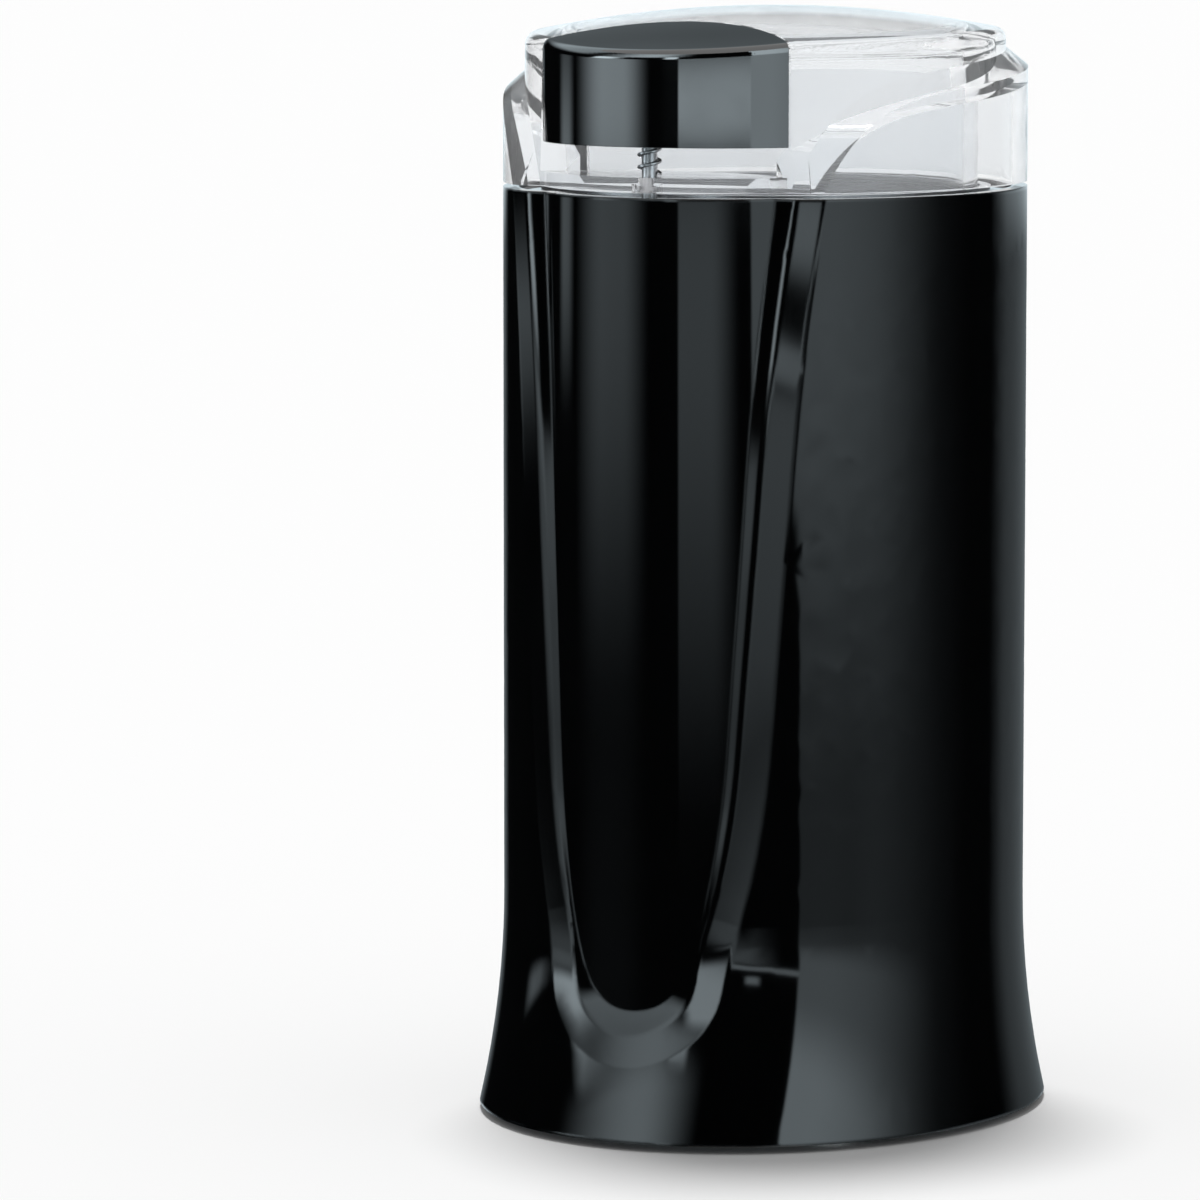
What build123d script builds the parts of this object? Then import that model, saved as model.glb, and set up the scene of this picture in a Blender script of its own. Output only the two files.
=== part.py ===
from build123d import *
import os
from math import exp, cos, sin, radians, hypot

os.makedirs("parts", exist_ok=True)

# Electric spice grinder. Millimetres; X runs left to right, -Y is the front, Z is up from the table.

# Outer form: an oval body that flares at the foot, with a straight round nose let into its front.
SEAM_Z = 150.0
SEAM_GAP = 0.8
LID_RISE = 28.5
HEIGHT = SEAM_Z + LID_RISE
HALF_WIDTH = 41.7
OVAL = 2.8
HALF_DEPTH = HALF_WIDTH + OVAL
FLARE_TOP = 35.0
FLARE_WIDTH = 2.9
FLARE_DEPTH = 7.7
WALL = 2.5
NOSE_R = 28.0
NOSE_SET_BACK = 0.2
NOSE_FRONT = NOSE_SET_BACK - HALF_DEPTH
NOSE_Y = NOSE_FRONT + NOSE_R

# Front panel beside the nose: how far it lies behind the oval's front, at heights from the table and
# at heights from the seam, and the sloping band round its rim.
PANEL_FOOT = ((-4.7, 11.0), (-2.34, 15.7), (0.6, 22.0), (1.8, 28.0), (3.5, 44.0), (4.4, 57.0), (4.9, 70.0))
PANEL_HEAD = ((5.9, -55.0), (7.0, -30.0), (8.9, -6.0), (9.5, 0.0))
BAND_IN = 1.5
BAND_OUT = 3.6
BAND_SOFT_R = 3.0

# Fits between neighbouring pieces.
RUNNING = 0.05
PUSH = 0.1
LOOSE = 0.3
ON_SHAFT = 0.02

# Foot and base.
FOOT_H = 3.2
FOOT_R = 5.5
BODY_LOW = 1.0
BODY_TOP = SEAM_Z - SEAM_GAP / 2
COVER_LOW = 1.5
COVER_T = 2.4
COVER_TOP = COVER_LOW + COVER_T
VENT_LENGTH = 30.0
VENT_WIDTH = 3.0
VENT_PITCH = 7.0
BASE_SCREW_R = 1.5
BASE_HEAD_R = 3.0
BASE_BOSS_H = 11.0

# Cord inlet at the back.
INLET_Z = 14.0
CORD_R = 3.0
GROMMET_R = 4.5
GROMMET_LIP = 1.5

# Bowl and the deck that carries its rim.
BOWL_ROOM = 4.6
BOWL_R = HALF_WIDTH - WALL - BOWL_ROOM
BOWL_WALL = 0.8
BOWL_OUT_R = BOWL_R + BOWL_WALL
BOWL_FLANGE_R = BOWL_OUT_R + 0.9
BOWL_CORNER_R = 8.0
BOWL_DEPTH = 44.7
DECK_TOP = SEAM_Z - 1.0
DECK_T = 2.6
DECK_LOW = DECK_TOP - DECK_T
DECK_HEAD_R = 1.8
DECK_BOSS_R = 2.4
DECK_BOSS_H = 18.0
BOWL_LOW = DECK_TOP - BOWL_DEPTH
BOWL_SCREW_CIRCLE_R = BOWL_R - 14.6
SEAL_R = 7.1

# Lid, its button and the chamber inside it.
LID_LOW = SEAM_Z + SEAM_GAP / 2
DOME_R = 190.0
DOME_Y = 3.0
SHOULDER_DROP = 11.3
BAND_INSET = 3.1
BAND_RISE = 2.6
SKIRT_R = BOWL_R - 0.4
SKIRT_WALL = 2.3
SKIRT_LOW = SEAM_Z - 3.0
LID_ROOF = 3.0
POCKET_FLOOR = SEAM_Z + 2.8
BUTTON_LOW = SEAM_Z + 7.5
BUTTON_DEPTH = 20.3
BUTTON_BACK_R = 31.0
BUTTON_BACK_Y = NOSE_FRONT + BUTTON_DEPTH
BUTTON_WALL = 1.8
BUTTON_TOP_T = 2.2
BUTTON_SOFT_R = 1.6
BOSS_LOW = HEIGHT - 15.5
BOSS_H = 9.0
BOSS_R = 3.0

# Button stem and switch plunger, one above the other in the nose.
STEM_Y = 6.3 - HALF_DEPTH
STEM_R = 1.25
STEM_LOW = SEAM_Z - 2.2
STEM_TOP = BOSS_LOW + 5.9
CLIP_T = 0.6
PLUNGER_TOP = STEM_LOW - LOOSE
PLUNGER_HEAD_R = 2.0
PLUNGER_HEAD_T = 2.0
GUIDE_TOP = SEAM_Z - 20.0
GUIDE_H = 4.0
COIL_R = 1.72
COIL_WIRE_R = 0.25

# Motor, hung below the bowl: upper bearing, fan, stack, commutator and lower bearing.
CHASSIS_R = HALF_WIDTH - WALL - 3.2
CHASSIS_WALL = 2.0
CHASSIS_LOW = 10.0
CHASSIS_TOP = BOWL_LOW - PUSH
WEB_LOW = CHASSIS_TOP - 6.2
WEB_T = 3.0
SHAFT_R = 3.0
UPPER_BEARING_R = SHAFT_R + 3.0
UPPER_BEARING_LOW = WEB_LOW - 5.5
UPPER_BEARING_H = 11.0
FAN_TOP = UPPER_BEARING_LOW - 1.5
FAN_H = 8.5
STACK_TOP = FAN_TOP - FAN_H - 6.5
STACK_H = 24.0
STACK_LOW = STACK_TOP - STACK_H
STACK_HALF_X = CHASSIS_R - CHASSIS_WALL - 7.5
STACK_HALF_Y = CHASSIS_R - CHASSIS_WALL - 12.5
STACK_CORNER_R = 5.0
MOTOR_BOLTS = [(sx * (STACK_HALF_X - 4), sy * (STACK_HALF_Y - 4)) for sx in (-1, 1) for sy in (-1, 1)]
POST_R = 3.0
BOLT_HOLE_R = 1.6
FAN_R = hypot(*MOTOR_BOLTS[0]) - POST_R - 1.5
FAN_HUB_R = 7.0
ARMATURE_R = 13.5
STATOR_BORE = ARMATURE_R + 0.5
COIL_X = STACK_HALF_X - 8.5
COIL_T = 4.8
COIL_SPAN_IN = 16.6
COIL_SPAN_OUT = 26.4
COMMUTATOR_R = 9.0
COMMUTATOR_H = 13.0
COMMUTATOR_LOW = STACK_LOW - 19.0
BRUSH_Z = COMMUTATOR_LOW + COMMUTATOR_H / 2
BRUSH_WIDTH = 6.0
BRUSH_HEIGHT = 8.0
BRUSH_LENGTH = 9.0
HOLDER_LOW_Y = COMMUTATOR_R + 3.0
HOLDER_END_Y = COMMUTATOR_R + LOOSE + BRUSH_LENGTH + 7.7
BRACKET_LOW = COMMUTATOR_LOW - 9.0
BRACKET_T = 3.0
LOWER_BEARING_R = SHAFT_R + 2.5
LOWER_BEARING_LOW = BRACKET_LOW - 1.5
LOWER_BEARING_H = 8.5
SHAFT_LOW = BRACKET_LOW - 4.0

# Blade.
BLADE_Z = BOWL_LOW + 8.2
BLADE_T = 1.2
BLADE_REACH = BOWL_R - 6.6
HUB_LOW = BOWL_LOW + 3.3
SHAFT_TOP = BLADE_Z + 7.5

# Microswitch in the chassis window, below the plunger.
SWITCH_TOP = WEB_LOW - 6.0
SWITCH_H = 10.0
SWITCH_WIDTH = 16.5
SWITCH_BACK = STEM_Y + 4.8
SWITCH_FRONT = STEM_Y - 1.4
PIVOT_X = -7.3
PIVOT_Z = SWITCH_TOP + 4.0
LEVER_LENGTH = 13.0
LEVER_T = 0.8
LEVER_WIDTH = 4.6
LEVER_RISE = 15.0
PLUNGER_LOW = PIVOT_Z + 2.95


def half_width(z):
    """Half the outer width of the body at height z."""
    return HALF_WIDTH + FLARE_WIDTH * (max(0.0, FLARE_TOP - z) / FLARE_TOP) ** 2


def half_depth(z):
    """Half the outer depth of the body at height z."""
    return HALF_DEPTH + FLARE_DEPTH * (max(0.0, FLARE_TOP - z) / FLARE_TOP) ** 2


def corners(z, inset, angle):
    """Four points set in from the body's outline at height z, one in each quarter."""
    x = (half_width(z) - inset) * cos(radians(angle))
    y = (half_depth(z) - inset) * sin(radians(angle))
    return [(sx * x, sy * y) for sx in (-1, 1) for sy in (-1, 1)]


BASE_SCREWS = corners(COVER_TOP + BASE_BOSS_H, WALL + 1.6, 43.4)
FEET = corners(COVER_LOW, 10.0, 25.5)
DECK_SCREWS = corners(DECK_TOP, WALL + 2.35, 42.9)
BOWL_SCREWS = [(BOWL_SCREW_CIRCLE_R * cos(radians(a)), BOWL_SCREW_CIRCLE_R * sin(radians(a)))
               for a in (90, 210, 330)]


def panel_curve():
    """Side view of the front panel, from below its foot up to the seam."""
    low = [(set_back - HALF_DEPTH, z) for set_back, z in PANEL_FOOT]
    high = [(set_back - HALF_DEPTH, SEAM_Z + drop) for set_back, drop in PANEL_HEAD]
    return low + high


def on_panel_rim(edge):
    """True for the long edges round the front panel."""
    return edge.length > 8 and edge.center().Y < -HALF_DEPTH / 2 and 5 < edge.center().Z < SEAM_Z - 10


def body_form(inset, z_low, z_high, banded=False):
    """Solid with the body's outline, set in by inset; banded gives the front panel its sloping band."""
    with BuildPart() as form:
        if z_low < FLARE_TOP:
            for step in range(5):
                z = z_low + (FLARE_TOP - z_low) * step / 4
                with BuildSketch(Plane.XY.offset(z)):
                    Ellipse(half_width(z) - inset, half_depth(z) - inset)
            loft()
        with BuildSketch(Plane.XY.offset(max(z_low, FLARE_TOP))):
            Ellipse(HALF_WIDTH - inset, HALF_DEPTH - inset)
        extrude(amount=z_high - max(z_low, FLARE_TOP))
        with BuildSketch(Plane.YZ.offset(-2 * HALF_WIDTH)):
            with BuildLine():
                front = Spline(*[(y + inset, z) for y, z in panel_curve()])
                foot = (-2 * HALF_DEPTH, (front @ 0).Y)
                beyond = front @ 1 + Vector(0.3, 4)
                Polyline(front @ 1, beyond, (-2 * HALF_DEPTH, z_high + 5), foot, front @ 0)
            make_face()
        extrude(amount=4 * HALF_WIDTH, mode=Mode.SUBTRACT)
        if banded:
            rim = edges(Select.LAST).filter_by(on_panel_rim)
            panel = faces().sort_by_distance((0, panel_curve()[-3][0], SEAM_Z / 2))[0]
            chamfer(rim, length=BAND_IN, length2=BAND_OUT, reference=panel)
            fillet(edges().filter_by(on_panel_rim), radius=BAND_SOFT_R)
        with BuildSketch(Plane.XY.offset(z_low)):
            with Locations((0, NOSE_Y)):
                Circle(NOSE_R - inset)
        extrude(amount=z_high - z_low)
    return form.part


def coil(x, y, z_low, z_high, mean_r, wire_r, turns):
    """Compression spring standing on z_low."""
    rise = z_high - z_low - 2 * wire_r
    with BuildPart() as spring:
        with BuildLine():
            path = Helix(pitch=rise / turns, height=rise, radius=mean_r, center=(x, y, z_low + wire_r))
        with BuildSketch(Plane(path @ 0, z_dir=path % 0)):
            RegularPolygon(wire_r, 6)
        sweep(is_frenet=True)
    return spring.part


def screws(points, head_z, head_r, head_h, shank_r, shank_end):
    """Set of pan-head screws, heads starting at head_z and shanks running to shank_end."""
    way = 1 if shank_end > head_z else -1
    with BuildPart() as group:
        with BuildSketch(Plane.XY.offset(head_z)):
            with Locations(*points):
                Circle(head_r)
        extrude(amount=way * head_h)
        chamfer(edges().group_by(Axis.Z)[0 if way > 0 else -1], head_h * 0.35)
        with BuildSketch(Plane.XY.offset(head_z)):
            with Locations(*points):
                SlotCenterToCenter(head_r, head_r * 0.28)
                SlotCenterToCenter(head_r, head_r * 0.28, rotation=90)
        extrude(amount=way * head_h * 0.5, mode=Mode.SUBTRACT)
        with BuildSketch(Plane.XY.offset(head_z + way * head_h)):
            with Locations(*points):
                Circle(shank_r)
        extrude(amount=shank_end - head_z - way * head_h)
    return group.part


# ---------------------------------------------------------------- housing and base

# Housing: one moulded shell, open at the top and bottom, with screw bosses and the plunger guide inside.
with BuildPart() as housing:
    add(body_form(0, BODY_LOW, BODY_TOP, banded=True))
    add(body_form(WALL, BODY_LOW - 0.5, BODY_TOP + 0.5), mode=Mode.SUBTRACT)
    with BuildSketch(Plane.XY.offset(COVER_TOP + PUSH)):
        with Locations(*BASE_SCREWS):
            Circle(BASE_SCREW_R + 1.9)
            Circle(BASE_SCREW_R + PUSH, mode=Mode.SUBTRACT)
    extrude(amount=BASE_BOSS_H)
    with BuildSketch(Plane.XY.offset(DECK_LOW - PUSH)):
        with Locations(*DECK_SCREWS):
            Circle(DECK_BOSS_R)
            Circle(1.0, mode=Mode.SUBTRACT)
    extrude(amount=-DECK_BOSS_H)
    with BuildSketch(Plane.XY.offset(GUIDE_TOP)):
        guide_back = -BOWL_OUT_R - 0.2
        guide_front = NOSE_FRONT + WALL - 0.4
        with Locations((0, (guide_back + guide_front) / 2)):
            Rectangle(8, guide_back - guide_front)
        with Locations((0, STEM_Y)):
            Circle(STEM_R + RUNNING, mode=Mode.SUBTRACT)
    extrude(amount=-GUIDE_H)
    with BuildSketch(Plane.XZ.offset(-HALF_DEPTH / 2)):
        with Locations((0, INLET_Z)):
            Circle(GROMMET_R + PUSH)
    extrude(amount=-HALF_DEPTH, mode=Mode.SUBTRACT)
housing.part.label = "housing"
export_step(housing.part, "parts/housing.step")

# Base cover: dished plate with the air slots, held by four screws.
with BuildPart() as base_cover:
    for z in (COVER_LOW, COVER_TOP):
        with BuildSketch(Plane.XY.offset(z)):
            Ellipse(half_width(z) - WALL - LOOSE, half_depth(z) - WALL - LOOSE)
    loft()
    with BuildSketch(Plane.XY.offset(COVER_LOW)):
        with GridLocations(0, VENT_PITCH, 1, 5):
            SlotOverall(VENT_LENGTH, VENT_WIDTH)
        with Locations(*BASE_SCREWS):
            Circle(BASE_SCREW_R + 0.4)
    extrude(amount=COVER_T, mode=Mode.SUBTRACT)
    with BuildSketch(Plane.XY.offset(COVER_LOW)):
        with Locations(*BASE_SCREWS):
            Circle(BASE_HEAD_R + LOOSE)
    extrude(amount=COVER_T / 2 + PUSH, mode=Mode.SUBTRACT)
    with BuildSketch(Plane.XY.offset(COVER_LOW)):
        with Locations(*FEET):
            Circle(FOOT_R + PUSH)
    extrude(amount=FOOT_H - COVER_LOW - PUSH, mode=Mode.SUBTRACT)
base_cover.part.label = "base_cover"
export_step(base_cover.part, "parts/base_cover.step")

# Rubber feet: four pads set into the base cover.
with BuildPart() as rubber_feet:
    with BuildSketch():
        with Locations(*FEET):
            Circle(FOOT_R)
    extrude(amount=FOOT_H - 2 * PUSH)
    fillet(edges().group_by(Axis.Z)[0], radius=0.8)
rubber_feet.part.label = "rubber_feet"
export_step(rubber_feet.part, "parts/rubber_feet.step")

# Base screws.
base_screws = screws(BASE_SCREWS, COVER_LOW + PUSH, BASE_HEAD_R, COVER_T / 2, BASE_SCREW_R, COVER_TOP + 9)
base_screws.label = "base_screws"
export_step(base_screws, "parts/base_screws.step")

# Cord grommet: flanged rubber bush in the back wall.
with BuildPart() as cord_grommet:
    wall_out = half_depth(INLET_Z)
    wall_in = wall_out - WALL - 2.0
    with BuildSketch(Plane.XZ.offset(-(wall_in - GROMMET_LIP - PUSH))):
        with Locations((0, INLET_Z)):
            Circle(GROMMET_R + 1.1)
    extrude(amount=-GROMMET_LIP - PUSH)
    with BuildSketch(Plane.XZ.offset(-(wall_in - GROMMET_LIP - PUSH))):
        with Locations((0, INLET_Z)):
            Circle(GROMMET_R)
    extrude(amount=-(wall_out - wall_in + 2 * GROMMET_LIP + 2 * PUSH))
    with BuildSketch(Plane.XZ.offset(-(wall_out + GROMMET_LIP + PUSH))):
        with Locations((0, INLET_Z)):
            Circle(GROMMET_R + 0.8)
    extrude(amount=-GROMMET_LIP)
    chamfer(edges().group_by(Axis.Y)[-1], 0.5)
    with BuildSketch(Plane.XZ):
        with Locations((0, INLET_Z)):
            Circle(CORD_R)
    extrude(amount=-2 * HALF_DEPTH, mode=Mode.SUBTRACT)
cord_grommet.part.label = "cord_grommet"
export_step(cord_grommet.part, "parts/cord_grommet.step")

# Top deck: C-shaped plate that closes the ring between bowl and housing, open at the nose for the plunger.
with BuildPart() as top_deck:
    add(body_form(WALL + LOOSE - PUSH, DECK_LOW, DECK_TOP))
    with BuildSketch(Plane.XY.offset(DECK_LOW)):
        Circle(BOWL_OUT_R + 0.2)
        with Locations((0, -HALF_DEPTH)):
            Rectangle(12, HALF_DEPTH)
        with Locations(*DECK_SCREWS):
            Circle(1.3)
    extrude(amount=DECK_T, mode=Mode.SUBTRACT)
    with BuildSketch(Plane.XY.offset(DECK_TOP)):
        with Locations(*DECK_SCREWS):
            Circle(DECK_HEAD_R + 0.2)
    extrude(amount=-1.2, mode=Mode.SUBTRACT)
top_deck.part.label = "top_deck"
export_step(top_deck.part, "parts/top_deck.step")

# Deck screws.
deck_screws = screws(DECK_SCREWS, DECK_TOP - PUSH, DECK_HEAD_R, 1.0, 0.9, DECK_TOP - 10)
deck_screws.label = "deck_screws"
export_step(deck_screws, "parts/deck_screws.step")

# ---------------------------------------------------------------- bowl and chassis

# Bowl: pressed steel cup with a rolled rim that rests on the deck.
with BuildPart() as bowl:
    with BuildSketch(Plane.XY.offset(BOWL_LOW)):
        Circle(BOWL_OUT_R)
    extrude(amount=DECK_TOP - BOWL_LOW)
    fillet(edges().group_by(Axis.Z)[0], radius=BOWL_CORNER_R + BOWL_WALL)
    with BuildSketch(Plane.XY.offset(DECK_TOP)):
        Circle(BOWL_FLANGE_R)
    extrude(amount=BOWL_WALL)
    with BuildSketch(Plane.XY.offset(BOWL_LOW)):
        Circle(SEAL_R + PUSH)
        with Locations(*BOWL_SCREWS):
            Circle(1.7)
    extrude(amount=5, mode=Mode.SUBTRACT)
with BuildPart() as bowl_room:
    with BuildSketch(Plane.XY.offset(BOWL_LOW + BOWL_WALL)):
        Circle(BOWL_R)
    extrude(amount=BOWL_DEPTH + 5)
    fillet(edges().group_by(Axis.Z)[0], radius=BOWL_CORNER_R)
with bowl:
    add(bowl_room.part, mode=Mode.SUBTRACT)
bowl.part.label = "bowl"
export_step(bowl.part, "parts/bowl.step")

# Bowl screws.
bowl_screws = screws(BOWL_SCREWS, BOWL_LOW + BOWL_WALL + 1.6, 3.0, 1.5, 1.5, BOWL_LOW - 5)
bowl_screws.label = "bowl_screws"
export_step(bowl_screws, "parts/bowl_screws.step")

# Shaft seal: rubber lip ring where the shaft enters the bowl.
with BuildPart() as shaft_seal:
    with BuildSketch(Plane.XY.offset(BOWL_LOW + PUSH)):
        Circle(SEAL_R)
    extrude(amount=BOWL_WALL + 0.2)
    with BuildSketch(Plane.XY.offset(BOWL_LOW + BOWL_WALL + PUSH)):
        Circle(SEAL_R + 1.5)
    extrude(amount=1.8)
    chamfer(edges().group_by(Axis.Z)[-1], 0.8)
    with BuildSketch(Plane.XY.offset(BOWL_LOW)):
        Circle(SHAFT_R + LOOSE)
    extrude(amount=6, mode=Mode.SUBTRACT)
shaft_seal.part.label = "shaft_seal"
export_step(shaft_seal.part, "parts/shaft_seal.step")

# Motor chassis: windowed tube with the upper bearing web and the four stator posts.
with BuildPart() as motor_chassis:
    with BuildSketch(Plane.XY.offset(CHASSIS_LOW)):
        Circle(CHASSIS_R)
        Circle(CHASSIS_R - CHASSIS_WALL, mode=Mode.SUBTRACT)
    extrude(amount=CHASSIS_TOP - CHASSIS_LOW)
    with BuildSketch(Plane.XY.offset(CHASSIS_LOW)):
        Circle(CHASSIS_R)
        Circle(CHASSIS_R - 3.5, mode=Mode.SUBTRACT)
    extrude(amount=2.5)
    with BuildSketch(Plane.XY.offset(CHASSIS_LOW + 20)):
        with PolarLocations(CHASSIS_R - 6, 4, start_angle=45):
            Rectangle(16, 16)
    extrude(amount=WEB_LOW - CHASSIS_LOW - 44, mode=Mode.SUBTRACT)
    with BuildSketch(Plane.XY.offset(WEB_LOW)):
        Circle(CHASSIS_R - CHASSIS_WALL / 2)
        with PolarLocations(BOWL_SCREW_CIRCLE_R, 3, start_angle=30):
            SlotCenterToCenter(6, 7, rotation=90, mode=Mode.SUBTRACT)
    extrude(amount=WEB_T)
    with BuildSketch(Plane.XY.offset(WEB_LOW)):
        with Locations(*BOWL_SCREWS):
            Circle(4)
    extrude(amount=CHASSIS_TOP - WEB_LOW)
    with BuildSketch(Plane.XY.offset(SWITCH_TOP - SWITCH_H - PUSH)):
        with Locations((0, SWITCH_BACK + 0.2 - HALF_DEPTH / 2)):
            Rectangle(22, HALF_DEPTH)
    extrude(amount=2 * SWITCH_H, mode=Mode.SUBTRACT)
    with BuildSketch(Plane.XY.offset(UPPER_BEARING_LOW - 0.5)):
        Circle(UPPER_BEARING_R + 3.5)
    extrude(amount=CHASSIS_TOP - UPPER_BEARING_LOW + 0.5)
    with BuildSketch(Plane.XY.offset(STACK_TOP + PUSH)):
        with Locations(*MOTOR_BOLTS):
            Circle(POST_R)
    extrude(amount=WEB_LOW - STACK_TOP - PUSH)
    with BuildSketch(Plane.XY.offset(UPPER_BEARING_LOW - 0.5)):
        Circle(UPPER_BEARING_R + PUSH)
    extrude(amount=20, mode=Mode.SUBTRACT)
    with BuildSketch(Plane.XY.offset(STACK_TOP)):
        with Locations(*MOTOR_BOLTS):
            Circle(BOLT_HOLE_R)
    extrude(amount=15, mode=Mode.SUBTRACT)
    with BuildSketch(Plane.XY.offset(WEB_LOW)):
        with Locations(*BOWL_SCREWS):
            Circle(BOLT_HOLE_R)
    extrude(amount=10, mode=Mode.SUBTRACT)
motor_chassis.part.label = "motor_chassis"
export_step(motor_chassis.part, "parts/motor_chassis.step")

# Motor dampers: rubber blocks between base cover and chassis.
with BuildPart() as motor_dampers:
    with BuildSketch(Plane.XY.offset(COVER_TOP + PUSH)):
        with PolarLocations(CHASSIS_R - 4, 4, start_angle=45):
            Circle(3.5)
    extrude(amount=CHASSIS_LOW - COVER_TOP - 2 * PUSH)
motor_dampers.part.label = "motor_dampers"
export_step(motor_dampers.part, "parts/motor_dampers.step")

# ---------------------------------------------------------------- motor, fixed pieces

# Stator core: laminated stack with a bore and four winding slots.
with BuildPart() as stator_core:
    with BuildSketch(Plane.XY.offset(STACK_LOW)):
        RectangleRounded(2 * STACK_HALF_X, 2 * STACK_HALF_Y, STACK_CORNER_R)
        Circle(STATOR_BORE, mode=Mode.SUBTRACT)
        with GridLocations(2 * COIL_X, (COIL_SPAN_IN + COIL_SPAN_OUT) / 2, 2, 2):
            Rectangle(COIL_T + 0.6, (COIL_SPAN_OUT - COIL_SPAN_IN) / 2 + 0.6, mode=Mode.SUBTRACT)
        with Locations(*MOTOR_BOLTS):
            Circle(BOLT_HOLE_R, mode=Mode.SUBTRACT)
    extrude(amount=STACK_H)
stator_core.part.label = "stator_core"
export_step(stator_core.part, "parts/stator_core.step")

# Field coils: one rectangular winding round each pole.
with BuildPart() as field_coils:
    with BuildSketch(Plane.YZ.offset(COIL_X - COIL_T / 2)):
        with Locations((0, (STACK_LOW + STACK_TOP) / 2)):
            RectangleRounded(COIL_SPAN_OUT, STACK_H + 11, 4)
            Rectangle(COIL_SPAN_IN, STACK_H + 0.6, mode=Mode.SUBTRACT)
    extrude(amount=COIL_T)
    mirror(about=Plane.YZ)
field_coils.part.label = "field_coils"
export_step(field_coils.part, "parts/field_coils.step")

# Lower bracket: plate with the lower bearing hub, stator posts and brush seats.
with BuildPart() as lower_bracket:
    with BuildSketch(Plane.XY.offset(BRACKET_LOW)):
        RectangleRounded(2 * STACK_HALF_X, 2 * STACK_HALF_Y, STACK_CORNER_R)
        with GridLocations(28, 0, 2, 1):
            RectangleRounded(9, 24, 2, mode=Mode.SUBTRACT)
    extrude(amount=BRACKET_T)
    with BuildSketch(Plane.XY.offset(LOWER_BEARING_LOW - 0.5)):
        Circle(LOWER_BEARING_R + 3)
    extrude(amount=LOWER_BEARING_H + 0.5)
    with BuildSketch(Plane.XY.offset(BRACKET_LOW)):
        with Locations(*MOTOR_BOLTS):
            Circle(POST_R)
    extrude(amount=STACK_LOW - PUSH - BRACKET_LOW)
    with BuildSketch(Plane.XY.offset(BRACKET_LOW)):
        seat_low, seat_high = HOLDER_LOW_Y + 1, STACK_HALF_Y - 0.5
        with GridLocations(0, seat_low + seat_high, 1, 2):
            Rectangle(9, seat_high - seat_low)
    extrude(amount=BRUSH_Z - BRUSH_HEIGHT / 2 - 1 - PUSH - BRACKET_LOW)
    with BuildSketch(Plane.XY.offset(BRACKET_LOW - 4)):
        Circle(LOWER_BEARING_R + PUSH)
        with Locations(*MOTOR_BOLTS):
            Circle(BOLT_HOLE_R)
    extrude(amount=40, mode=Mode.SUBTRACT)
lower_bracket.part.label = "lower_bracket"
export_step(lower_bracket.part, "parts/lower_bracket.step")

# Motor screws: four long screws through bracket, stator and chassis posts.
motor_screws = screws(MOTOR_BOLTS, BRACKET_LOW - PUSH - 2, 3.0, 2.0, 1.4, STACK_TOP + 10)
motor_screws.label = "motor_screws"
export_step(motor_screws, "parts/motor_screws.step")


def ring(outer_r, bore_r, z_low, height):
    """Plain ring round the motor's axis."""
    with BuildPart() as form:
        with BuildSketch(Plane.XY.offset(z_low)):
            Circle(outer_r)
            Circle(bore_r, mode=Mode.SUBTRACT)
        extrude(amount=height)
    return form.part


# Lower and upper bearings: plain bronze bushes.
lower_bearing = ring(LOWER_BEARING_R, SHAFT_R + RUNNING, LOWER_BEARING_LOW, LOWER_BEARING_H)
lower_bearing.label = "lower_bearing"
export_step(lower_bearing, "parts/lower_bearing.step")

upper_bearing = ring(UPPER_BEARING_R, SHAFT_R + RUNNING, UPPER_BEARING_LOW, UPPER_BEARING_H)
upper_bearing.label = "upper_bearing"
export_step(upper_bearing, "parts/upper_bearing.step")

# Brush holders: brass box tubes on the bracket seats, either side of the commutator.
with BuildPart() as brush_holders:
    with BuildSketch(Plane.XZ.offset(-HOLDER_LOW_Y)):
        with Locations((0, BRUSH_Z)):
            Rectangle(BRUSH_WIDTH + 2, BRUSH_HEIGHT + 2)
            Rectangle(BRUSH_WIDTH + 0.2, BRUSH_HEIGHT + 0.2, mode=Mode.SUBTRACT)
    extrude(amount=HOLDER_LOW_Y - HOLDER_END_Y - 1)
    with BuildSketch(Plane.XZ.offset(-HOLDER_END_Y)):
        with Locations((0, BRUSH_Z)):
            Rectangle(BRUSH_WIDTH + 2, BRUSH_HEIGHT + 2)
    extrude(amount=-1)
    mirror(about=Plane.XZ)
brush_holders.part.label = "brush_holders"
export_step(brush_holders.part, "parts/brush_holders.step")

# Carbon brushes.
with BuildPart() as carbon_brushes:
    with BuildSketch(Plane.XZ.offset(-(COMMUTATOR_R + LOOSE))):
        with Locations((0, BRUSH_Z)):
            Rectangle(BRUSH_WIDTH, BRUSH_HEIGHT)
    extrude(amount=-BRUSH_LENGTH)
    mirror(about=Plane.XZ)
carbon_brushes.part.label = "carbon_brushes"
export_step(carbon_brushes.part, "parts/carbon_brushes.step")

# Brush springs: short coils that push the brushes inward.
with BuildPart() as brush_springs:
    with Locations(Location((0, COMMUTATOR_R + LOOSE + BRUSH_LENGTH, BRUSH_Z), (-90, 0, 0))):
        add(coil(0, 0, PUSH, 7.6, 2.0, 0.35, 4))
    mirror(about=Plane.XZ)
brush_springs.part.label = "brush_springs"
export_step(brush_springs.part, "parts/brush_springs.step")

# ---------------------------------------------------------------- rotor

# Motor shaft.
with BuildPart() as motor_shaft:
    with BuildSketch(Plane.XY.offset(SHAFT_LOW)):
        Circle(SHAFT_R)
    extrude(amount=SHAFT_TOP - SHAFT_LOW)
    chamfer(edges().group_by(Axis.Z)[0] + edges().group_by(Axis.Z)[-1], 0.5)
motor_shaft.part.label = "motor_shaft"
export_step(motor_shaft.part, "parts/motor_shaft.step")

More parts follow.
